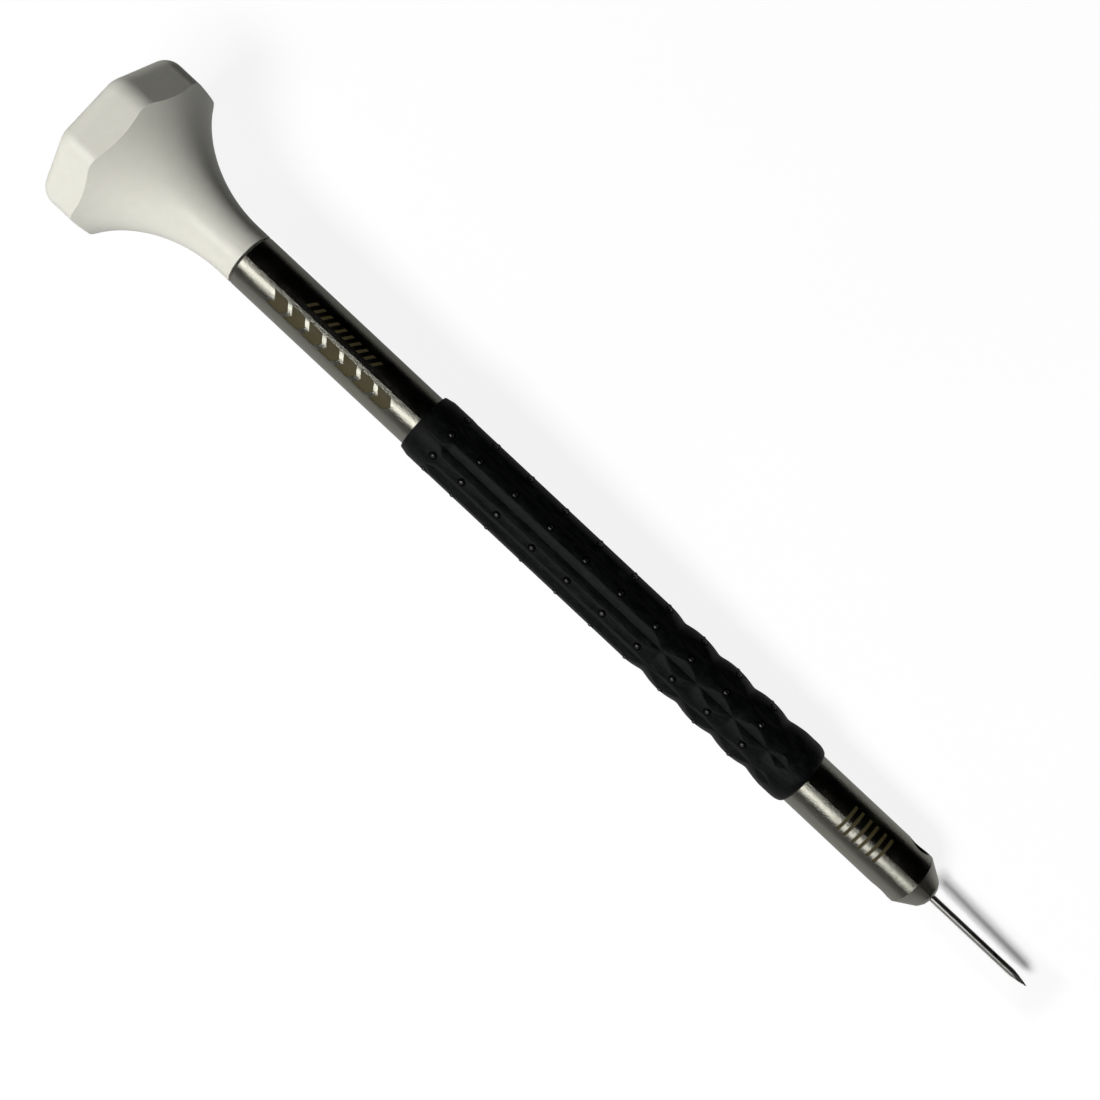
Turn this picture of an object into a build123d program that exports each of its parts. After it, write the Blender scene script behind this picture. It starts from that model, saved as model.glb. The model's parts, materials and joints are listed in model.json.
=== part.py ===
from build123d import *
import os
from math import atan2, cos, degrees, radians, sin, sqrt

# Watchmaker's screwdriver with a free-spinning head, lying on a bench.
# Millimetres. Each piece is drawn in the tool's own frame: local Z is the tool's axis,
# with heights u counted from the blade's tip towards the head, and local X points up.
# place_on_bench() then lays the whole tool down: +X towards the tip, +Z up, bench at Z 0.

# Blade
BLADE_R = 0.40
BLADE_END_U = 23.8
TIP_TAPER = 1.9
TIP_WIDTH = 0.60
TIP_THICKNESS = 0.10
BLADE_CLEARANCE = 0.02

# Handle body: rounded nose, front barrel, waist under the grip, rear barrel
NOSE_U = 13.15
NOSE_FACE_R = 1.3
NOSE_SHOULDER_U = 13.5
NOSE_SHOULDER_R = 1.75
BARREL_U = 15.6
BARREL_R = 3.0
GRIP_FRONT_U = 30.5
WAIST_R = 2.55
GRIP_REAR_U = 82.35
BODY_END_U = 106.02
EDGE_BREAK = 0.12
BLADE_BORE_END_U = 24.0

# Screws that clamp the blade, one on each side of the nose, the left one turned slightly upwards
CLAMP_U = 17.3
CLAMP_TURN = 8.0
CLAMP_R = 1.0
CLAMP_HOLE_R = 1.02
CLAMP_SINK_R = 1.27
CLAMP_SINK_DEPTH = 0.30
CLAMP_INNER = 0.44
CLAMP_OUTER = 2.55
CLAMP_SLOT_WIDTH = 0.30
CLAMP_SLOT_DEPTH = 0.50

# Engraved marks, generic: chevrons and ticks on the rear barrel, a tally of six on the front one
MARK_DEPTH = 0.05
CHEVRON_COUNT = 7
CHEVRON_PITCH = 2.30
CHEVRON_WIDTH = 1.75
CHEVRON_POINT = 0.62
CHEVRON_FIRST_U = 86.0
CHEVRON_ANGLE = -24.0
CHEVRON_HALF_HEIGHT = 0.84
TICK_COUNT = 10
TICK_PITCH = 0.95
TICK_WIDTH = 0.40
TICK_SLANT = 0.30
TICK_FIRST_U = 89.3
TICK_ANGLE = 19.0
TICK_HALF_HEIGHT = 0.48
TALLY_PAIRS = 3
TALLY_PAIR_PITCH = 1.95
TALLY_BAR_GAP = 0.88
TALLY_BAR_WIDTH = 0.36
TALLY_MIDDLE_U = 22.7
TALLY_ANGLE = 1.0
TALLY_HALF_HEIGHT = 1.45

# Rubber grip
GRIP_R = 3.55
GRIP_REAR_R = 3.3
GRIP_REAR_CHAMFER = 0.9
GRIP_FRONT_R = 3.15
GRIP_BULGE_R = 3.6
GRIP_BULGE_START = 1.2
GRIP_BULGE_END = 3.6
GRIP_BULGE_FADE = 6.0
FLUTE_COUNT = 8
FLUTE_ANGLE = -7.5
FLUTE_DEPTH = 0.38
FLUTE_HALF_WIDTH = 0.85
FLUTE_START_U = 36.0
FLUTE_END_U = 79.0

# Head: flared neck and octagonal rim
HEAD_BASE_U = 106.2
HEAD_TOP_U = 125.2
NECK_R = 3.0
NECK_HOLE_CLEARANCE = 0.12
NECK_STRAIGHT = 1.55
FLARE_R = 15.76
RIM_R = 10.3
RIM_APOTHEM = 9.2
RIM_EDGE_R = 2.6
RIM_TOP_EDGE_R = 1.9
RIM_SIDES = 8
COVER_SEAT_U = 121.2
COVER_R = 6.6
COVER_RECESS_R = 5.4
COVER_RECESS_DEPTH = 1.7
COVER_EDGE_BREAK = 0.15
DISH_R = 5.7
DISH_DEPTH = 0.9

# Spindle and the plain bush in the neck
SPINDLE_PRESS_R = 1.25
SPINDLE_START_U = 96.0
SPINDLE_R = 1.5
SPINDLE_SHOULDER_R = 1.9
SPINDLE_SHOULDER_U = 111.2
SPINDLE_TAP_START_U = 113.5
BUSH_START_U = 106.6
BUSH_END_U = 110.6
BUSH_R = 2.1
RUNNING_CLEARANCE = 0.03
NECK_BORE_END_U = 113.9
RELIEF_R = 3.0
WASHER_R = 2.72
WASHER_CLEARANCE = 0.05
WASHER_END_U = 106.15

# Ball bearing, 3 x 8 x 3
BEARING_U = 115.4
BEARING_WIDTH = 3.0
BEARING_R = 4.0
INNER_RACE_R = 2.3
OUTER_RACE_INNER_R = 3.2
BALL_R = 0.75
BALL_COUNT = 7
BALL_PITCH_R = 2.75
RACE_GROOVE_R = 0.78
CAGE_INNER_R = 2.45
CAGE_OUTER_R = 3.05
CAGE_HALF_HEIGHT = 1.0
CAGE_POCKET_R = 0.79
SHIELD_INNER_R = 2.36
SHIELD_THICKNESS = 0.2

# What holds the bearing in the head and on the spindle
CIRCLIP_THICKNESS = 0.4
CIRCLIP_R = 4.3
CIRCLIP_INNER_R = 3.35
CIRCLIP_GAP = 2.0
RACE_WASHER_R = 2.2
RACE_WASHER_THICKNESS = 0.3
RACE_SCREW_R = 1.0
RACE_SCREW_HEAD_R = 1.7
RACE_SCREW_HEAD_HEIGHT = 1.0
RACE_SCREW_SLOT_WIDTH = 0.4
RACE_SCREW_SLOT_DEPTH = 0.4
SPINDLE_RECESS = 0.1

# Worked out from the driving dimensions
BEARING_END_U = BEARING_U + BEARING_WIDTH
BEARING_MIDDLE_U = BEARING_U + BEARING_WIDTH / 2
SPINDLE_END_U = BEARING_END_U - SPINDLE_RECESS
FLARE_START_U = HEAD_BASE_U + NECK_STRAIGHT
FLARE_CENTRE_R = NECK_R + FLARE_R


def flare_height(radius):
    """Height u at which the flare of the head reaches a radius."""
    return FLARE_START_U + sqrt(FLARE_R**2 - (FLARE_CENTRE_R - radius) ** 2)


# The tool rests on the front edge of its barrel and on the lower flat of its head.
REST_HEAD_U = flare_height(RIM_APOTHEM)
TILT = atan2(RIM_APOTHEM - BARREL_R, REST_HEAD_U - BARREL_U)


def turned(points):
    """Solid of revolution about the tool's axis from a closed outline of (radius, u)."""
    corners = [(radius, 0, u) for radius, u in points]
    return revolve(make_face(Polyline(*corners, close=True)), Axis.Z)


def ring(inner, outer, start, end):
    """Flat-ended ring about the tool's axis."""
    return turned([(inner, start), (outer, start), (outer, end), (inner, end)])


def rod(radius, start, end):
    """Round rod about the tool's axis."""
    base = (Align.CENTER, Align.CENTER, Align.MIN)
    return Pos(0, 0, start) * Cylinder(radius, end - start, align=base)


def clamp_location(side):
    """Frame of a clamp screw's hole: Z points out of the nose, to the left for side 1."""
    return Pos(0, 0, CLAMP_U) * Rot(0, 0, -CLAMP_TURN) * Rot(-90 * side, 0, 0)


def mark_prism(angle, points):
    """Radial prism with the outline (u, height), centred at an angle round the barrel."""
    turn = radians(angle)
    plane = Plane(origin=(0, 0, 0), x_dir=(0, 0, 1), z_dir=(cos(turn), sin(turn), 0))
    outline = make_face(Polyline(*points, close=True))
    return extrude(plane * outline, amount=2 * BARREL_R)


def chevron(u):
    """Chevron that points at the blade, with its rear notch at u."""
    tip_side = u - CHEVRON_WIDTH
    return mark_prism(
        CHEVRON_ANGLE,
        [
            (u, CHEVRON_HALF_HEIGHT),
            (u - CHEVRON_POINT, 0),
            (u, -CHEVRON_HALF_HEIGHT),
            (tip_side, -CHEVRON_HALF_HEIGHT),
            (tip_side - CHEVRON_POINT, 0),
            (tip_side, CHEVRON_HALF_HEIGHT),
        ],
    )


def slanted_bar(angle, u, width, half_height, slant):
    """Bar across the barrel, its two ends shifted along the axis by the slant."""
    half = width / 2
    return mark_prism(
        angle,
        [
            (u - half - slant, -half_height),
            (u + half - slant, -half_height),
            (u + half + slant, half_height),
            (u - half + slant, half_height),
        ],
    )


def mark_cutters():
    """All engraved marks, as shallow pockets in the surface of the barrels."""
    skin = ring(BARREL_R - MARK_DEPTH, BARREL_R + MARK_DEPTH, BARREL_U, BODY_END_U)
    prisms = []
    for i in range(CHEVRON_COUNT):
        prisms.append(chevron(CHEVRON_FIRST_U + CHEVRON_WIDTH + i * CHEVRON_PITCH))
    for i in range(TICK_COUNT):
        u = TICK_FIRST_U + i * TICK_PITCH
        prisms.append(slanted_bar(TICK_ANGLE, u, TICK_WIDTH, TICK_HALF_HEIGHT, TICK_SLANT))
    for pair in range(TALLY_PAIRS):
        middle = TALLY_MIDDLE_U + (pair - (TALLY_PAIRS - 1) / 2) * TALLY_PAIR_PITCH
        for offset in (-TALLY_BAR_GAP / 2, TALLY_BAR_GAP / 2):
            u = middle + offset
            prisms.append(slanted_bar(TALLY_ANGLE, u, TALLY_BAR_WIDTH, TALLY_HALF_HEIGHT, 0))
    return [skin & prism for prism in prisms]


def handle_body():
    """Stainless bar: coned nose, front barrel, waist under the grip and rear barrel."""
    body = turned(
        [
            (0, NOSE_U),
            (NOSE_FACE_R, NOSE_U),
            (NOSE_SHOULDER_R, NOSE_SHOULDER_U),
            (BARREL_R, BARREL_U),
            (BARREL_R, GRIP_FRONT_U),
            (WAIST_R, GRIP_FRONT_U),
            (WAIST_R, GRIP_REAR_U),
            (BARREL_R, GRIP_REAR_U),
            (BARREL_R, BODY_END_U - EDGE_BREAK),
            (BARREL_R - EDGE_BREAK, BODY_END_U),
            (0, BODY_END_U),
        ]
    )
    body -= rod(BLADE_R + BLADE_CLEARANCE, NOSE_U, BLADE_BORE_END_U)
    body -= rod(SPINDLE_PRESS_R, SPINDLE_START_U, BODY_END_U)
    base = (Align.CENTER, Align.CENTER, Align.MIN)
    top = (Align.CENTER, Align.CENTER, Align.MAX)
    for side in (1, -1):
        hole = Cylinder(CLAMP_HOLE_R, BARREL_R, align=base)
        sink = Pos(0, 0, BARREL_R) * Cone(CLAMP_HOLE_R, CLAMP_SINK_R, CLAMP_SINK_DEPTH, align=top)
        body -= clamp_location(side) * (hole + sink)
    return body - mark_cutters()


def blade():
    """Round blade with a symmetric chisel tip, its edge in the tool's vertical plane."""
    shank = rod(BLADE_R, 0, BLADE_END_U)
    shank = chamfer(shank.edges().sort_by(Axis.Z)[-1], EDGE_BREAK)
    edge = Rectangle(TIP_WIDTH, TIP_THICKNESS)
    root = Rectangle(2 * BLADE_R, 2 * BLADE_R)
    wedge = loft([edge, Pos(0, 0, TIP_TAPER) * root])
    return shank & (wedge + rod(BLADE_R, TIP_TAPER, BLADE_END_U))


def clamp_screw(side):
    """Slotted grub screw that clamps the blade from one side."""
    base = (Align.CENTER, Align.CENTER, Align.MIN)
    top = (Align.CENTER, Align.CENTER, Align.MAX)
    screw = Pos(0, 0, CLAMP_INNER) * Cylinder(CLAMP_R, CLAMP_OUTER - CLAMP_INNER, align=base)
    screw = chamfer(screw.edges().filter_by(GeomType.CIRCLE), EDGE_BREAK)
    slot = Box(CLAMP_SLOT_WIDTH, 2 * CLAMP_R, CLAMP_SLOT_DEPTH, align=top)
    screw -= Pos(0, 0, CLAMP_OUTER) * slot
    return clamp_location(side) * screw


def flute(index):
    """V-shaped groove along the grip, as the wedge that cuts it."""
    floor = GRIP_R - FLUTE_DEPTH
    above = GRIP_R + FLUTE_DEPTH
    wedge = make_face(
        Polyline(
            (floor, 0),
            (above, 2 * FLUTE_HALF_WIDTH),
            (above, -2 * FLUTE_HALF_WIDTH),
            close=True,
        )
    )
    wedge = extrude(wedge, amount=FLUTE_END_U - FLUTE_START_U)
    return Rot(0, 0, FLUTE_ANGLE + index * 360 / FLUTE_COUNT) * Pos(0, 0, FLUTE_START_U) * wedge


def grip_sleeve():
    """Rubber sleeve on the waist, thicker at the front end, with grooves along it."""
    bulge_u = GRIP_FRONT_U + GRIP_BULGE_START
    sleeve = turned(
        [
            (WAIST_R, GRIP_FRONT_U),
            (GRIP_FRONT_R, GRIP_FRONT_U),
            (GRIP_BULGE_R, bulge_u),
            (GRIP_BULGE_R, GRIP_FRONT_U + GRIP_BULGE_END),
            (GRIP_R, GRIP_FRONT_U + GRIP_BULGE_FADE),
            (GRIP_R, GRIP_REAR_U - GRIP_REAR_CHAMFER),
            (GRIP_REAR_R, GRIP_REAR_U),
            (WAIST_R, GRIP_REAR_U),
        ]
    )
    return sleeve - [flute(i) for i in range(FLUTE_COUNT)]


def head_outline():
    """Turned neck and flare of the head, before its rim is cut to eight flats."""
    flare_end_u = flare_height(RIM_R)
    middle_r = (NECK_R + RIM_R) / 2
    edges = [
        Line((0, 0, HEAD_BASE_U), (NECK_R, 0, HEAD_BASE_U)),
        Line((NECK_R, 0, HEAD_BASE_U), (NECK_R, 0, FLARE_START_U)),
        ThreePointArc(
            (NECK_R, 0, FLARE_START_U),
            (middle_r, 0, flare_height(middle_r)),
            (RIM_R, 0, flare_end_u),
        ),
        Line((RIM_R, 0, flare_end_u), (RIM_R, 0, HEAD_TOP_U)),
        Line((RIM_R, 0, HEAD_TOP_U), (0, 0, HEAD_TOP_U)),
        Line((0, 0, HEAD_TOP_U), (0, 0, HEAD_BASE_U)),
    ]
    return revolve(make_face(edges), Axis.Z)


def rim_prism():
    """Octagonal prism with rounded corners and a rounded top edge, one flat facing up."""
    octagon = RegularPolygon(
        RIM_APOTHEM, RIM_SIDES, major_radius=False, rotation=180 / RIM_SIDES
    )
    octagon = fillet(octagon.vertices(), RIM_EDGE_R)
    prism = extrude(Pos(0, 0, HEAD_BASE_U) * octagon, amount=HEAD_TOP_U - HEAD_BASE_U)
    top_face = prism.faces().sort_by(Axis.Z)[-1]
    return fillet(top_face.edges(), RIM_TOP_EDGE_R)


def head_shell():
    """Moulded head: round neck, concave flare and octagonal rim, hollow for the bearing."""
    shell = head_outline() & rim_prism()
    shell -= rod(SPINDLE_R + NECK_HOLE_CLEARANCE, HEAD_BASE_U, BUSH_START_U)
    shell -= rod(BUSH_R, BUSH_START_U, NECK_BORE_END_U)
    shell -= rod(RELIEF_R, NECK_BORE_END_U, BEARING_U)
    shell -= rod(BEARING_R, BEARING_U, COVER_SEAT_U)
    shell -= rod(CIRCLIP_R, BEARING_END_U, BEARING_END_U + CIRCLIP_THICKNESS)
    shell -= rod(COVER_R, COVER_SEAT_U, HEAD_TOP_U)
    return shell


def head_cover():
    """Cap pressed into the top of the head, with a shallow dish for the fingertip."""
    cover = turned(
        [
            (0, COVER_SEAT_U + COVER_RECESS_DEPTH),
            (COVER_RECESS_R, COVER_SEAT_U + COVER_RECESS_DEPTH),
            (COVER_RECESS_R, COVER_SEAT_U),
            (COVER_R, COVER_SEAT_U),
            (COVER_R, HEAD_TOP_U - COVER_EDGE_BREAK),
            (COVER_R - COVER_EDGE_BREAK, HEAD_TOP_U),
            (0, HEAD_TOP_U),
        ]
    )
    dish_sphere_r = (DISH_R**2 + DISH_DEPTH**2) / (2 * DISH_DEPTH)
    return cover - Pos(0, 0, HEAD_TOP_U - DISH_DEPTH + dish_sphere_r) * Sphere(dish_sphere_r)


def head_spindle():
    """Steel axle pressed into the handle, with a shoulder that carries the bearing."""
    spindle = turned(
        [
            (0, SPINDLE_START_U),
            (SPINDLE_PRESS_R, SPINDLE_START_U),
            (SPINDLE_PRESS_R, BODY_END_U),
            (SPINDLE_R, BODY_END_U),
            (SPINDLE_R, SPINDLE_SHOULDER_U),
            (SPINDLE_SHOULDER_R, SPINDLE_SHOULDER_U),
            (SPINDLE_SHOULDER_R, BEARING_U),
            (SPINDLE_R, BEARING_U),
            (SPINDLE_R, SPINDLE_END_U),
            (0, SPINDLE_END_U),
        ]
    )
    return spindle - rod(RACE_SCREW_R, SPINDLE_TAP_START_U, SPINDLE_END_U)


def thrust_washer():
    """Dark plastic washer in the gap between the handle and the head."""
    return ring(SPINDLE_R + WASHER_CLEARANCE, WASHER_R, BODY_END_U, WASHER_END_U)


def neck_bush():
    """Plain bronze bush that steadies the head's neck on the spindle."""
    return ring(SPINDLE_R + RUNNING_CLEARANCE, BUSH_R, BUSH_START_U, BUSH_END_U)


def race_groove():
    """Ball track of both races, as the ring that cuts it."""
    profile = Circle(RACE_GROOVE_R)
    profile = Pos(BALL_PITCH_R, 0, BEARING_MIDDLE_U) * Rot(90, 0, 0) * profile
    return revolve(profile, Axis.Z)


def bearing_inner_race():
    """Inner race with its ball track."""
    return ring(SPINDLE_R, INNER_RACE_R, BEARING_U, BEARING_END_U) - race_groove()


def bearing_outer_race():
    """Outer race with its ball track."""
    return ring(OUTER_RACE_INNER_R, BEARING_R, BEARING_U, BEARING_END_U) - race_groove()


def spheres(radius):
    """One sphere at each ball's centre."""
    found = []
    for i in range(BALL_COUNT):
        turn = radians(i * 360 / BALL_COUNT)
        x = BALL_PITCH_R * cos(turn)
        y = BALL_PITCH_R * sin(turn)
        found.append(Pos(x, y, BEARING_MIDDLE_U) * Sphere(radius))
    return found


def bearing_balls():
    """The bearing's balls, separate solids in one node."""
    return Compound(children=spheres(BALL_R))


def cage_half(start, end):
    """One half of the two-piece ball cage, between two heights."""
    return ring(CAGE_INNER_R, CAGE_OUTER_R, start, end) - spheres(CAGE_POCKET_R)


def bearing_shield(start):
    """Thin shield that closes one side of the bearing."""
    return ring(SHIELD_INNER_R, OUTER_RACE_INNER_R, start, start + SHIELD_THICKNESS)


def bearing_circlip():
    """Split ring that holds the outer race down in the head."""
    whole = ring(CIRCLIP_INNER_R, CIRCLIP_R, BEARING_END_U, BEARING_END_U + CIRCLIP_THICKNESS)
    beside = (Align.MIN, Align.CENTER, Align.MIN)
    gap = Box(CIRCLIP_R, CIRCLIP_GAP, CIRCLIP_THICKNESS, align=beside)
    return whole - Pos(0, 0, BEARING_END_U) * gap


def race_washer():
    """Washer that clamps the inner race on the spindle."""
    return ring(RACE_SCREW_R, RACE_WASHER_R, BEARING_END_U, BEARING_END_U + RACE_WASHER_THICKNESS)


def race_screw():
    """Slotted screw in the spindle's end, above the washer."""
    head_u = BEARING_END_U + RACE_WASHER_THICKNESS
    top_u = head_u + RACE_SCREW_HEAD_HEIGHT
    screw = rod(RACE_SCREW_R, SPINDLE_TAP_START_U, head_u) + rod(RACE_SCREW_HEAD_R, head_u, top_u)
    top = (Align.CENTER, Align.CENTER, Align.MAX)
    slot = Box(RACE_SCREW_SLOT_WIDTH, 2 * RACE_SCREW_HEAD_R, RACE_SCREW_SLOT_DEPTH, align=top)
    return screw - Pos(0, 0, top_u) * slot


def place_on_bench(shapes):
    """Location that lays the tool down, centred over the origin on the bench."""
    up = (sin(TILT), 0, cos(TILT))
    towards_head = (-cos(TILT), 0, sin(TILT))
    lay = Plane(origin=(0, 0, 0), x_dir=up, z_dir=towards_head).location
    box = Compound(children=[lay * shape for shape in shapes]).bounding_box()
    middle = box.center()
    return Pos(-middle.X, -middle.Y, -box.min.Z) * lay


parts = {
    "handle_body": handle_body(),
    "grip_sleeve": grip_sleeve(),
    "blade": blade(),
    "clamp_screw_left": clamp_screw(1),
    "clamp_screw_right": clamp_screw(-1),
    "head_spindle": head_spindle(),
    "thrust_washer": thrust_washer(),
    "neck_bush": neck_bush(),
    "head_shell": head_shell(),
    "head_cover": head_cover(),
    "bearing_inner_race": bearing_inner_race(),
    "bearing_outer_race": bearing_outer_race(),
    "bearing_balls": bearing_balls(),
    "cage_half_lower": cage_half(BEARING_MIDDLE_U - CAGE_HALF_HEIGHT, BEARING_MIDDLE_U),
    "cage_half_upper": cage_half(BEARING_MIDDLE_U, BEARING_MIDDLE_U + CAGE_HALF_HEIGHT),
    "bearing_shield_lower": bearing_shield(BEARING_U),
    "bearing_shield_upper": bearing_shield(BEARING_END_U - SHIELD_THICKNESS),
    "bearing_circlip": bearing_circlip(),
    "race_washer": race_washer(),
    "race_screw": race_screw(),
}

os.makedirs("parts", exist_ok=True)
outer = [parts["blade"], parts["handle_body"], parts["head_shell"]]
place = place_on_bench(outer)
for name, shape in parts.items():
    export_step(place * shape, f"parts/{name}.step")
print("tilt, degrees:", round(degrees(TILT), 4), "tip at:", place.position)
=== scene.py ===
import json
from math import cos, pi, radians, sin, sqrt

import bpy
from mathutils import Matrix, Vector


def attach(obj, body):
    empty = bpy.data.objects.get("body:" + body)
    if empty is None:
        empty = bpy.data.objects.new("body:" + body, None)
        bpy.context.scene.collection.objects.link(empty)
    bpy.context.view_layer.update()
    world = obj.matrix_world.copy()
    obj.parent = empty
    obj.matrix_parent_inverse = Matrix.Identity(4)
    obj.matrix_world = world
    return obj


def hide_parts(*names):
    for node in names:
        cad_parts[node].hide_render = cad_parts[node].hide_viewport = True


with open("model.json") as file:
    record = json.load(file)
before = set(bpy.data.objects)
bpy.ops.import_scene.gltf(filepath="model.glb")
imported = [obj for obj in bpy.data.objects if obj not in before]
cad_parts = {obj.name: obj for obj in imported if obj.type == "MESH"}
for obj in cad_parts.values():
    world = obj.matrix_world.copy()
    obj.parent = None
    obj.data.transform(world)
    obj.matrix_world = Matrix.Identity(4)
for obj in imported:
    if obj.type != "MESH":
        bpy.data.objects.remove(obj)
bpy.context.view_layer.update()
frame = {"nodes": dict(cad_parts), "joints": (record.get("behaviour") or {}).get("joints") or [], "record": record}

# Watchmaker's screwdriver on a pale bench. Metres in the row's frame. The tool's own frame has its
# origin at the blade's tip, Z along the axis towards the head and X up; lengths there are in MM.

MM = 0.001

# The tool, in millimetres from the blade's tip
HEAD_BASE_U = 106.2
GRIP_FRONT_U = 30.5
GRIP_REAR_U = 82.35
GRIP_R = 3.55
WAIST_R = 2.56
MARK_FLOOR_R = 2.978
MARK_SPANS = ((84, 104), (19.5, 26))
HOLE_RIM_R = 2.96
HOLE_SPAN = (15.9, 18.8)
CONE_SPAN = (12, 15.6)

# Grip: grooves along it, waves across its front end, nubs between the grooves
FLUTE_COUNT = 8
FLUTE_ANGLE = -7.5
FLUTE_HALF_ANGLE = 14.5
FLUTE_DEPTH = 0.31
FLUTE_REAR_U = 79.3
FLUTE_FRONT_U = 32.8
FLUTE_RUN_OUT = 1.1
WAVE_DEPTH = 0.33
WAVE_PITCH = 4.72
WAVE_FIRST_U = 49.5
WAVE_START_U = 51.86
WAVE_END_U = 32.98
WAVE_CREASE = 0.15
GRIP_FRONT_ROUND = 1.2
GRIP_FRONT_DROP = 0.45
GRIP_REAR_ROUND = 1.0
GRIP_REAR_DROP = 0.22
SHOULDER_BLEND = 0.02
WAVE_STEP = 0.17
STRAIGHT_STEP = 2.0
NUB_U = [37.6 + 4.71 * i for i in range(9)] + [79.1]
NUB_ROW_ANGLE = 22.5
NUB_R = 0.25
NUB_HEIGHT = 0.16
NUB_RING_R = 0.44
NUB_SPOKES = 20

# Light: from the -Y side a window that shades the tool and a strip that shows in its gloss, from
# the +Y side a weak bounce off the bench, and from behind the head a weak fill for its top
WINDOW_ANGLE = 36.5
WINDOW_SIZE = (0.15, 0.3)
WINDOW_POWER = 3.5
WINDOW_TOWARDS_HEAD = 0.0
STRIP_ANGLE = 31.0
STRIP_SIZE = (0.25, 0.88)
STRIP_POWER = 2.3
STRIP_TOWARDS_HEAD = 0.2
BOUNCE_ANGLE = -108.0
BOUNCE_SIZE = (0.3, 0.6)
BOUNCE_POWER = 0.09
FILL_FROM = (0.06, -0.05, 1.0)
FILL_SIZE = (0.2, 0.2)
FILL_POWER = 1.1
LIGHT_DISTANCE = 0.6
# The bench's glow is painted light that washes out the tool's shadow on it; the plain patch beside the blade glows
# less, so the blade's shadow shows there.
BENCH_GLOW = 0.88
BENCH_GLOW_PLAIN = 0.22
BENCH_PLAIN_U = (-3.0, 11.8, 1.6)
BENCH_PLAIN_Y = (-2.0, 2.8, 0.8)

# What little the room gives back, by direction
ROOM_BELOW_WINDOW = 0.42
ROOM_BELOW_DARK = 0.2
ROOM_BELOW_AHEAD = 0.45
ROOM_HORIZON = 0.22
ROOM_AHEAD = 0.02
ROOM_TOP = 0.02

# Camera: looks straight down on the tool's axis, turned so that the tool lies across the picture;
# and the bench and backdrop behind the tool, in metres
CAMERA_DISTANCE = 150.5
CAMERA_SIDE = -0.70
CAMERA_U = 64.4
CAMERA_ROLL = 43.10
CAMERA_LENS = 49.24
BENCH_HALF = 3.0
BACKDROP_HEIGHT = 3.0

spin = next(joint for joint in frame["joints"] if joint["name"] == "head_spin")
towards_head = -Vector(spin["axis"]).normalized()
side = Vector((0, 1, 0))
up = side.cross(towards_head)
tip = Vector(spin["pos_m"]) - towards_head * HEAD_BASE_U * MM
tool = Matrix.Translation(tip) @ Matrix((up, side, towards_head)).transposed().to_4x4()


def tool_point(x, y, u):
    """Point in the row's frame from tool coordinates in millimetres."""
    return tool @ (Vector((x, y, u)) * MM)


def tool_direction(x, y, z):
    """Direction in the row's frame from one in the tool's frame."""
    return (tool.to_3x3() @ Vector((x, y, z))).normalized()


# ---------------------------------------------------------------- material building blocks


class Nodes:
    """A node tree with short calls for the nodes it needs."""

    def __init__(self, tree):
        self.tree = tree

    def node(self, kind, **settings):
        made = self.tree.nodes.new(kind)
        for key, value in settings.items():
            setattr(made, key, value)
        return made

    def link(self, source, target):
        self.tree.links.new(source, target)

    def math(self, operation, a, b=0.0, c=0.0):
        made = self.node("ShaderNodeMath", operation=operation)
        for socket, value in zip(made.inputs, (a, b, c)):
            if isinstance(value, (int, float)):
                socket.default_value = value
            else:
                self.link(value, socket)
        return made.outputs[0]

    def remap(self, value, low, high, to_low, to_high):
        made = self.node("ShaderNodeMapRange")
        self.link(value, made.inputs["Value"])
        for name, number in zip(
            ("From Min", "From Max", "To Min", "To Max"), (low, high, to_low, to_high)
        ):
            made.inputs[name].default_value = number
        return made.outputs["Result"]


class Shader(Nodes):
    """A material with a principled shader and the tool's own coordinates."""

    def __init__(self, name, color, metallic, roughness, specular=0.5):
        self.material = bpy.data.materials.new(name)
        self.material.use_nodes = True
        super().__init__(self.material.node_tree)
        self.bsdf = self.tree.nodes["Principled BSDF"]
        self.bsdf.inputs["Base Color"].default_value = (*color, 1)
        self.bsdf.inputs["Metallic"].default_value = metallic
        self.bsdf.inputs["Roughness"].default_value = roughness
        self.bsdf.inputs["Specular IOR Level"].default_value = specular
        self.base = self.tool_millimetres()

    def tool_millimetres(self):
        """Coordinates in the tool's frame, in millimetres, that move with the piece."""
        where = self.node("ShaderNodeTexCoord")
        mapping = self.node("ShaderNodeMapping", vector_type="TEXTURE")
        mapping.inputs["Location"].default_value = tip
        mapping.inputs["Rotation"].default_value = tool.to_euler()
        mapping.inputs["Scale"].default_value = (MM, MM, MM)
        self.link(where.outputs["Object"], mapping.inputs["Vector"])
        return mapping.outputs["Vector"]

    def stretched(self, scale):
        """The tool coordinates, scaled by a different factor on each axis."""
        made = self.node("ShaderNodeVectorMath", operation="MULTIPLY")
        made.inputs[1].default_value = scale
        self.link(self.base, made.inputs[0])
        return made.outputs[0]

    def noise(self, scale, detail=3.0, roughness=0.55):
        """Noise whose grain is 1/scale millimetres along each of the tool's axes."""
        made = self.node("ShaderNodeTexNoise")
        made.inputs["Scale"].default_value = 1.0
        made.inputs["Detail"].default_value = detail
        made.inputs["Roughness"].default_value = roughness
        self.link(self.stretched(scale), made.inputs["Vector"])
        return made.outputs["Fac"]

    def blend_colors(self, factor, first, second):
        """First colour where the factor is 0, second where it is 1."""
        made = self.node("ShaderNodeMix", data_type="RGBA")
        self.link(factor, made.inputs["Factor"])
        for socket, value in ((made.inputs["A"], first), (made.inputs["B"], second)):
            if isinstance(value, tuple):
                socket.default_value = (*value, 1)
            else:
                self.link(value, socket)
        return made.outputs["Result"]

    def bump(self, height, distance_mm, strength=1.0, under=None):
        made = self.node("ShaderNodeBump")
        made.inputs["Strength"].default_value = strength
        made.inputs["Distance"].default_value = distance_mm * MM
        self.link(height, made.inputs["Height"])
        if under is not None:
            self.link(under, made.inputs["Normal"])
        return made.outputs["Normal"]

    def set(self, name, source):
        self.link(source, self.bsdf.inputs[name])


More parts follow.
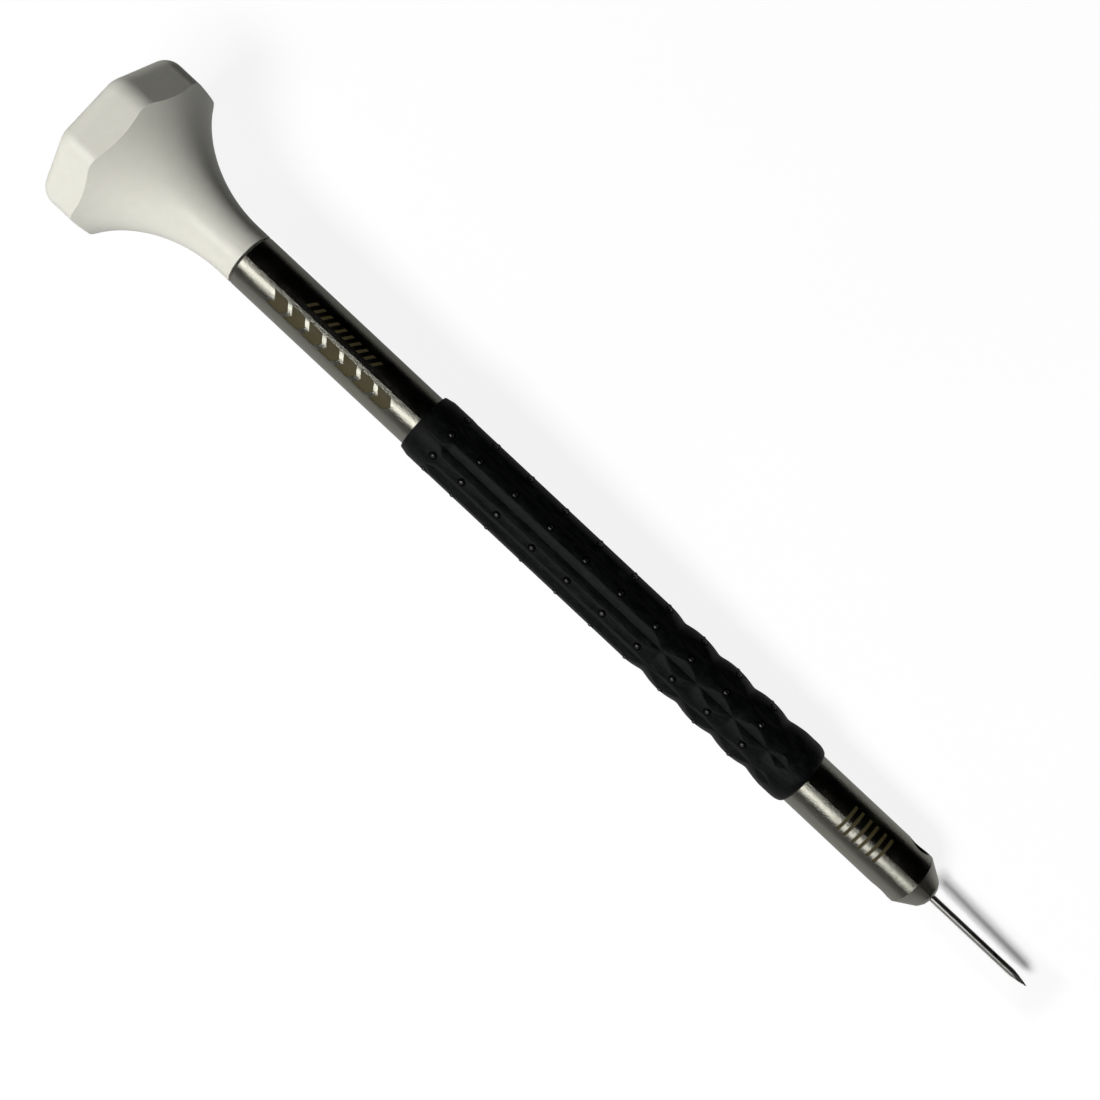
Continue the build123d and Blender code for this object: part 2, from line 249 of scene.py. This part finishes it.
def axial(shader):
    """(radius, height u) of a point about the tool's axis, in millimetres."""
    parts = shader.node("ShaderNodeSeparateXYZ")
    shader.link(shader.base, parts.inputs[0])
    x, y, u = parts.outputs
    across = shader.math("ADD", shader.math("MULTIPLY", x, x), shader.math("MULTIPLY", y, y))
    return shader.math("SQRT", across), u


def inside(shader, value, low, high):
    """1 where the value lies between low and high, else 0."""
    above = shader.math("GREATER_THAN", value, low)
    below = shader.math("LESS_THAN", value, high)
    return shader.math("MULTIPLY", above, below)


def soft_band(shader, value, low, high, edge):
    """1 where the value lies between low and high, falling to 0 over the edge's width."""
    rise = shader.remap(value, low - edge, low, 0, 1)
    fall = shader.remap(value, high, high + edge, 1, 0)
    return shader.math("MULTIPLY", rise, fall)


# ---------------------------------------------------------------- materials


def metal(name, color, roughness, grain, tint=0.12, scratch_mm=0.0015):
    """Worked metal with fine streaks, smudges and small changes of tone."""
    shader = Shader(name, color, 1.0, roughness)
    streaks = shader.noise(grain, 4.0, 0.65)
    smudges = shader.noise((0.55, 0.55, 0.35), 3.0, 0.6)
    dark = tuple(c * (1 - tint) for c in color)
    light = tuple(min(1.0, c * (1 + tint)) for c in color)
    shader.set("Base Color", shader.blend_colors(streaks, dark, light))
    rough = shader.remap(smudges, 0.3, 0.7, roughness * 0.8, roughness * 1.25)
    shader.set("Roughness", rough)
    shader.set("Normal", shader.bump(streaks, scratch_mm))
    return shader


def barrel_steel():
    """Polished stainless steel, with brown paint in the engraved marks and painted shade inside each screw hole.
    """
    shader = Shader("barrel_steel", (0.34, 0.335, 0.31), 1.0, 0.2)
    streaks = shader.noise((9.0, 9.0, 0.5), 4.0, 0.6)
    rings = shader.noise((0.2, 0.2, 14.0), 2.0, 0.5)
    smudges = shader.noise((0.7, 0.7, 0.45), 4.0, 0.6)
    pits = shader.noise((5.5, 5.5, 4.5), 4.0, 0.65)
    radius, u = axial(shader)
    sunk = shader.math("LESS_THAN", radius, MARK_FLOOR_R)
    rear, front = (inside(shader, u, *span) for span in MARK_SPANS)
    marks = shader.math("MULTIPLY", sunk, shader.math("ADD", rear, front))
    # Painted shade: inside each screw hole, below the rim radius, the steel is coloured near-black in place of the
    # recess's shade.
    deep = shader.math("LESS_THAN", radius, HOLE_RIM_R)
    hole_shade_mask = shader.math("MULTIPLY", deep, inside(shader, u, *HOLE_SPAN))
    steel = shader.blend_colors(streaks, (0.29, 0.285, 0.24), (0.39, 0.385, 0.33))
    patchy = shader.noise((5, 5, 5))
    paint = shader.blend_colors(patchy, (0.030, 0.024, 0.008), (0.054, 0.044, 0.015))
    painted = shader.blend_colors(marks, steel, paint)
    # Near-black painted shade inside each screw hole.
    shader.set("Base Color", shader.blend_colors(hole_shade_mask, painted, (0.02, 0.02, 0.02)))
    shader.set("Metallic", shader.math("SUBTRACT", 1, marks))
    worn = shader.remap(smudges, 0.3, 0.7, 0.17, 0.27)
    cone = shader.math("MULTIPLY", inside(shader, u, *CONE_SPAN), 0.06)
    dull = shader.math("MAXIMUM", cone, shader.math("MULTIPLY", marks, 0.4))
    shader.set("Roughness", shader.math("ADD", worn, dull))
    turned = shader.bump(rings, 0.0008)
    worked = shader.bump(pits, 0.023, under=turned)
    shader.set("Normal", shader.bump(streaks, 0.0012, under=worked))
    return shader.material


def head_plastic():
    """White moulded plastic, satin, faintly mottled and a little soiled in places."""
    shader = Shader("head_plastic", (0.80, 0.80, 0.755), 0.0, 0.4, 0.5)
    mottle = shader.noise((0.16, 0.16, 0.16), 3.0, 0.6)
    specks = shader.noise((1.0, 1.0, 1.0), 2.0, 0.5)
    tone = shader.blend_colors(mottle, (0.81, 0.80, 0.72), (0.76, 0.75, 0.66))
    soil = shader.remap(specks, 0.35, 0.75, 0.0, 0.1)
    shader.set("Base Color", shader.blend_colors(soil, tone, (0.60, 0.58, 0.51)))
    shader.set("Roughness", shader.remap(mottle, 0.3, 0.7, 0.28, 0.40))
    grain = shader.noise((7.0, 7.0, 7.0), 3.0, 0.6)
    soft = shader.bump(shader.noise((0.8, 0.8, 0.8)), 0.02)
    shader.set("Normal", shader.bump(grain, 0.005, under=soft))
    shader.bsdf.inputs["Subsurface Weight"].default_value = 0.08
    shader.bsdf.inputs["Subsurface Radius"].default_value = (1.0, 0.9, 0.7)
    shader.bsdf.inputs["Subsurface Scale"].default_value = 0.6 * MM
    return shader.material


def rubber(name, dark, dusty, roughness, specular):
    """Black moulded rubber with a fine skin and a trace of dust."""
    shader = Shader(name, dark, 0.0, roughness, specular)
    skin = shader.noise((11.0, 11.0, 11.0), 4.0, 0.6)
    dust = shader.noise((1.6, 1.6, 0.6), 5.0, 0.75)
    rubbed = shader.noise((5.0, 5.0, 1.0), 4.0, 0.7)
    grey = shader.remap(dust, 0.42, 0.7, 0, 1)
    film = shader.math("MULTIPLY", grey, shader.remap(rubbed, 0.4, 0.7, 0.2, 1))
    shader.set("Base Color", shader.blend_colors(film, dark, dusty))
    rough = shader.remap(dust, 0.3, 0.7, roughness - 0.07, roughness + 0.08)
    shader.set("Roughness", rough)
    uneven = shader.bump(rubbed, 0.035)
    shader.set("Normal", shader.bump(skin, 0.01, under=uneven))
    return shader.material


def plain_plastic():
    """Matt black washer plastic."""
    shader = Shader("washer_plastic", (0.02, 0.02, 0.02), 0.0, 0.6)
    cloud = shader.noise((3.0, 3.0, 3.0))
    tone = shader.blend_colors(cloud, (0.015, 0.015, 0.015), (0.035, 0.035, 0.035))
    shader.set("Base Color", tone)
    shader.set("Roughness", shader.remap(cloud, 0.3, 0.7, 0.5, 0.7))
    shader.set("Normal", shader.bump(cloud, 0.01))
    return shader.material


def bench_paint():
    """Pale, smooth bench top that glows as painted light washing out the tool's shadow, except beside the blade
    where it glows less and the shadow shows.
    """
    shader = Shader("bench", (0.25, 0.25, 0.25), 0.0, 0.7, 0.0)
    parts = shader.node("ShaderNodeSeparateXYZ")
    shader.link(shader.base, parts.inputs[0])
    along = soft_band(shader, parts.outputs[2], *BENCH_PLAIN_U)
    across = soft_band(shader, parts.outputs[1], *BENCH_PLAIN_Y)
    plain = shader.math("MULTIPLY", along, across)
    cloud = shader.noise((0.02, 0.02, 0.02))
    glowing = shader.blend_colors(cloud, (0.14, 0.14, 0.14), (0.16, 0.16, 0.16))
    shader.set("Base Color", shader.blend_colors(plain, glowing, (0.95, 0.95, 0.95)))
    shader.bsdf.inputs["Emission Color"].default_value = (1, 1, 1, 1)
    glow = shader.remap(plain, 0, 1, BENCH_GLOW, BENCH_GLOW_PLAIN)
    shader.set("Emission Strength", glow)
    return shader.material


LENGTHWISE = (14.0, 14.0, 0.6)
TURNED = (0.3, 0.3, 16.0)
STAMPED = (2.5, 2.5, 2.5)

grip_rubber = rubber("grip_rubber", (0.0013, 0.0017, 0.0016), (0.0105, 0.012, 0.0112), 0.42, 0.13)
nub_rubber = rubber("nub_rubber", (0.003, 0.0035, 0.003), (0.012, 0.012, 0.012), 0.16, 1.0)
# The ring round each nub is painted shade: near-black, matt rubber.
nub_ring_shade = rubber("nub_ring_shade", (0.0008, 0.001, 0.001), (0.002, 0.002, 0.002), 0.8, 0.05)

materials = {
    "barrel_steel": barrel_steel(),
    "head_plastic": head_plastic(),
    "grip_rubber": grip_rubber,
    "washer_plastic": plain_plastic(),
    "blade_steel": metal("blade_steel", (0.74, 0.73, 0.69), 0.3, LENGTHWISE, 0.1, 0.0006).material,
    "screw_steel": metal("screw_steel", (0.16, 0.16, 0.165), 0.35, TURNED).material,
    "spindle_steel": metal("spindle_steel", (0.58, 0.58, 0.58), 0.25, TURNED).material,
    "bearing_steel": metal("bearing_steel", (0.70, 0.70, 0.71), 0.12, TURNED, 0.05).material,
    "shield_steel": metal("shield_steel", (0.55, 0.55, 0.56), 0.3, TURNED).material,
    "spring_steel": metal("spring_steel", (0.12, 0.12, 0.13), 0.4, STAMPED).material,
    "cage_brass": metal("cage_brass", (0.72, 0.55, 0.26), 0.28, STAMPED).material,
    "bush_bronze": metal("bush_bronze", (0.60, 0.42, 0.22), 0.4, STAMPED).material,
}

for part in frame["record"]["subparts"]:
    node = frame["nodes"][part["node"]]
    node.data.materials.clear()
    node.data.materials.append(materials[part["material_slot"]])


# ---------------------------------------------------------------- rubber grip


def smooth_step(value, low, high):
    """0 below low, 1 above high, and smooth between them."""
    t = min(1.0, max(0.0, (value - low) / (high - low)))
    return t * t * (3 - 2 * t)


WAVE_PEAK = sqrt(1 + WAVE_CREASE**2) - WAVE_CREASE


def grip_outer_radius(u):
    """Radius of the grip on its lands, with the waves and the rounded ends."""
    radius = GRIP_R
    if WAVE_END_U < u < WAVE_START_U:
        swell = sin(pi * (u - WAVE_FIRST_U) / WAVE_PITCH)
        radius -= WAVE_DEPTH * (1 - (sqrt(swell**2 + WAVE_CREASE**2) - WAVE_CREASE) / WAVE_PEAK)
    front = max(0.0, 1 - (u - GRIP_FRONT_U) / GRIP_FRONT_ROUND)
    rear = max(0.0, 1 - (GRIP_REAR_U - u) / GRIP_REAR_ROUND)
    radius -= GRIP_FRONT_DROP * (1 - sqrt(1 - front**2))
    radius -= GRIP_REAR_DROP * rear
    return radius


def grip_radius(angle, u):
    """Radius of the grip at an angle in degrees from a groove's middle."""
    land = grip_outer_radius(u)
    run_out = smooth_step(u, FLUTE_FRONT_U, FLUTE_FRONT_U + FLUTE_RUN_OUT)
    run_out *= 1 - smooth_step(u, FLUTE_REAR_U - FLUTE_RUN_OUT, FLUTE_REAR_U)
    wall = GRIP_R - FLUTE_DEPTH * run_out + FLUTE_DEPTH * abs(angle) / FLUTE_HALF_ANGLE
    step = land - wall
    return land - (step + sqrt(step**2 + SHOULDER_BLEND**2)) / 2


def grip_angles():
    """Angles from a groove's middle where the grip's mesh has a row, one period."""
    half = [0.35, 0.9] + [1.8 + 1.0 * i for i in range(12)] + [13.6, 14.2, 14.8, 15.5, 17, 19.5]
    return [-a for a in reversed(half)] + [0.0] + half + [180 / FLUTE_COUNT]


def grip_stations():
    """Heights u where the grip's mesh has a ring."""
    front = [GRIP_FRONT_U + GRIP_FRONT_ROUND * (1 - cos(pi / 2 * i / 9)) for i in range(9)]
    waves = [GRIP_FRONT_U + GRIP_FRONT_ROUND + WAVE_STEP * i for i in range(119)]
    straight = [WAVE_START_U + 0.2 + STRAIGHT_STEP * i for i in range(13)]
    run_out = [FLUTE_REAR_U - FLUTE_RUN_OUT + FLUTE_RUN_OUT * i / 8 for i in range(9)]
    rear = [79.8, 80.6, 81.2, 81.35, 81.5, 81.8, 82.1, 82.28, GRIP_REAR_U]
    return front + waves + straight + run_out + rear


def new_object(name, vertices, faces, material, smooth=True):
    """Mesh object from points in the row's frame."""
    mesh = bpy.data.meshes.new(name)
    mesh.from_pydata([tuple(v) for v in vertices], [], faces)
    mesh.materials.append(material)
    mesh.polygons.foreach_set("use_smooth", [smooth] * len(mesh.polygons))
    mesh.update()
    made = bpy.data.objects.new(name, mesh)
    bpy.context.scene.collection.objects.link(made)
    return made


def build_grip():
    """Rubber sleeve as one closed mesh: grooved outside, plain bore."""
    period = 360 / FLUTE_COUNT
    around = [(k * period, a) for k in range(FLUTE_COUNT) for a in grip_angles()]
    stations = grip_stations()
    vertices = []
    for u in [GRIP_FRONT_U] + stations + [GRIP_REAR_U]:
        for turn, a in around:
            vertices.append((turn + a, u, grip_radius(a, u)))
    count = len(around)
    rings = len(stations) + 2
    vertices[:count] = [(t, GRIP_FRONT_U, WAIST_R) for t, _, _ in vertices[:count]]
    vertices[-count:] = [(t, GRIP_REAR_U, WAIST_R) for t, _, _ in vertices[-count:]]
    points = []
    for turn, u, radius in vertices:
        phi = radians(FLUTE_ANGLE + turn)
        points.append(tool_point(radius * cos(phi), radius * sin(phi), u))
    faces = []
    for ring in range(rings):
        low = ring * count
        high = (ring + 1) % rings * count
        for i in range(count):
            j = (i + 1) % count
            faces.append((low + i, low + j, high + j, high + i))
    return new_object("grip_rubber_sleeve", points, faces, materials["grip_rubber"])


def nub_profile():
    """(distance from the middle, height over the sleeve) of a nub and the ring of painted shade round it."""
    dome = [(NUB_R * cos(pi / 2 * i / 6), NUB_HEIGHT * sin(pi / 2 * i / 6)) for i in range(6)]
    return [(NUB_RING_R, -0.05), (NUB_RING_R, 0.006), (NUB_R, 0.01)] + dome[1:]


def build_nubs():
    """Small domes on the lands, each a closed cap sunk a little into the sleeve."""
    points, faces, slots = [], [], []
    profile, spokes = nub_profile(), NUB_SPOKES
    for row in range(FLUTE_COUNT):
        phi = radians(FLUTE_ANGLE + NUB_ROW_ANGLE + row * 360 / FLUTE_COUNT)
        out = Vector((cos(phi), sin(phi), 0))
        across = Vector((-sin(phi), cos(phi), 0))
        for u in NUB_U:
            centre = out * (grip_outer_radius(u) - 0.004) + Vector((0, 0, u))
            start = len(points)
            for distance, height in profile:
                for spoke in range(spokes):
                    turn = 2 * pi * spoke / spokes
                    sideways = distance * cos(turn)
                    sag = GRIP_R - sqrt(GRIP_R**2 - sideways**2)
                    along = Vector((0, 0, distance * sin(turn)))
                    point = centre + across * sideways + along + out * (height - sag)
                    points.append(tool_point(*point))
            points.append(tool_point(*(centre + out * NUB_HEIGHT)))
            points.append(tool_point(*(centre - out * 0.1)))
            top, bottom = len(points) - 2, len(points) - 1
            for spoke in range(spokes):
                after = (spoke + 1) % spokes
                for ring in range(len(profile) - 1):
                    low = start + ring * spokes
                    high = low + spokes
                    faces.append((low + spoke, low + after, high + after, high + spoke))
                    # The two outer rings of the profile carry the painted shade round the nub.
                    slots.append(1 if ring < 2 else 0)
                last = start + (len(profile) - 1) * spokes
                faces.append((last + spoke, last + after, top))
                faces.append((start + after, start + spoke, bottom))
                slots += [0, 1]
    made = new_object("grip_nubs", points, faces, nub_rubber)
    # Slot 1 holds the painted shade of the ring round each nub.
    made.data.materials.append(nub_ring_shade)
    made.data.polygons.foreach_set("material_index", slots)
    return made


grip = build_grip()
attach(grip, "handle")
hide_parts("grip_sleeve")
nubs = build_nubs()
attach(nubs, "handle")


# ---------------------------------------------------------------- bench, light and camera


def add_stage(name, corners, faces):
    """Pale surface behind the tool that neither lights it nor shows in its gloss."""
    made = new_object(name, corners, faces, bench, smooth=False)
    made.visible_diffuse = False
    made.visible_glossy = False
    made.visible_shadow = False


def add_bench():
    half, height = BENCH_HALF, BACKDROP_HEIGHT
    corners = [(-half, -half, 0), (half, -half, 0), (half, half, 0), (-half, half, 0)]
    add_stage("bench_top", corners, [(0, 1, 2, 3)])
    tops = [(x, y, height) for x, y, _ in corners]
    walls = [(i, i + 4, (i + 1) % 4 + 4, (i + 1) % 4) for i in range(4)]
    add_stage("backdrop", corners + tops, walls)


def beside(angle):
    """Direction away from the tool's axis, at an angle from straight up towards -Y."""
    return tool_direction(cos(radians(angle)), -sin(radians(angle)), 0)


def add_light(name, away, size, power, towards_head_m):
    """Soft light that faces the tool from a direction, with its long side along the tool."""
    data = bpy.data.lights.new(name, "AREA")
    data.shape = "RECTANGLE"
    data.size, data.size_y = size
    data.energy = power
    light = bpy.data.objects.new(name, data)
    light.visible_camera = False
    bpy.context.scene.collection.objects.link(light)
    across = tool_direction(0, 0, 1).cross(away).normalized()
    along = away.cross(across)
    where = tool_point(0, 0, CAMERA_U) + away * LIGHT_DISTANCE
    where += tool_direction(0, 0, 1) * towards_head_m
    light.matrix_world = (
        Matrix.Translation(where) @ Matrix((across, along, away)).transposed().to_4x4()
    )
    return light


def add_room():
    """Dim surroundings: greyer on the window's side and below, dark on the other side."""
    world = bpy.data.worlds.new("studio")
    world.use_nodes = True
    bpy.context.scene.world = world
    nodes = Nodes(world.node_tree)
    where = nodes.node("ShaderNodeTexCoord")
    parts = nodes.node("ShaderNodeSeparateXYZ")
    nodes.link(where.outputs["Generated"], parts.inputs[0])
    x, y, z = parts.outputs
    window_side = nodes.remap(y, -0.35, 0.0, 1, 0)
    below = nodes.remap(z, -0.06, 0.06, 1, 0)
    dark_side = nodes.remap(x, 0.05, 0.35, ROOM_BELOW_DARK, ROOM_BELOW_AHEAD)
    far_below = nodes.math("MULTIPLY", nodes.remap(z, -0.28, -0.2, 1, 0), dark_side)
    floor = nodes.node("ShaderNodeMix")
    nodes.link(window_side, floor.inputs["Factor"])
    nodes.link(far_below, floor.inputs["A"])
    floor.inputs["B"].default_value = ROOM_BELOW_WINDOW
    wall = nodes.math("MULTIPLY", window_side, nodes.remap(z, 0, 0.7, ROOM_HORIZON, ROOM_TOP))
    ahead = nodes.math("MULTIPLY", nodes.remap(x, 0.55, 0.7, 0, 1), nodes.remap(z, 0.75, 0.9, 1, 0))
    wall = nodes.math("ADD", wall, nodes.math("MULTIPLY", ahead, ROOM_AHEAD))
    lower = nodes.math("MULTIPLY", below, floor.outputs["Result"])
    upper = nodes.math("MULTIPLY", nodes.math("SUBTRACT", 1, below), wall)
    background = world.node_tree.nodes["Background"]
    background.inputs["Color"].default_value = (1, 1, 1, 1)
    nodes.link(nodes.math("ADD", lower, upper), background.inputs["Strength"])


def add_camera():
    data = bpy.data.cameras.new("camera")
    data.sensor_width = 36.0
    data.lens = CAMERA_LENS
    data.clip_start = 0.005
    data.clip_end = 20.0
    camera = bpy.data.objects.new("camera", data)
    bpy.context.scene.collection.objects.link(camera)
    roll = radians(CAMERA_ROLL)
    right = tool_direction(0, sin(roll), -cos(roll))
    back = tool_direction(1, 0, 0)
    above = back.cross(right)
    camera.matrix_world = Matrix.Translation(
        tool_point(CAMERA_DISTANCE, CAMERA_SIDE, CAMERA_U)
    ) @ Matrix((right, above, back)).transposed().to_4x4()
    bpy.context.scene.camera = camera


bench = bench_paint()
add_bench()
window = add_light(
    "window", beside(WINDOW_ANGLE), WINDOW_SIZE, WINDOW_POWER, WINDOW_TOWARDS_HEAD
)
window.visible_glossy = False
strip = add_light("strip", beside(STRIP_ANGLE), STRIP_SIZE, STRIP_POWER, STRIP_TOWARDS_HEAD)
strip.visible_diffuse = False
bounce = add_light("bounce", beside(BOUNCE_ANGLE), BOUNCE_SIZE, BOUNCE_POWER, WINDOW_TOWARDS_HEAD)
bounce.visible_glossy = False
fill = add_light("fill", tool_direction(*FILL_FROM), FILL_SIZE, FILL_POWER, 0.0)
fill.visible_glossy = False
add_room()
add_camera()
bpy.context.scene.view_settings.view_transform = "Standard"
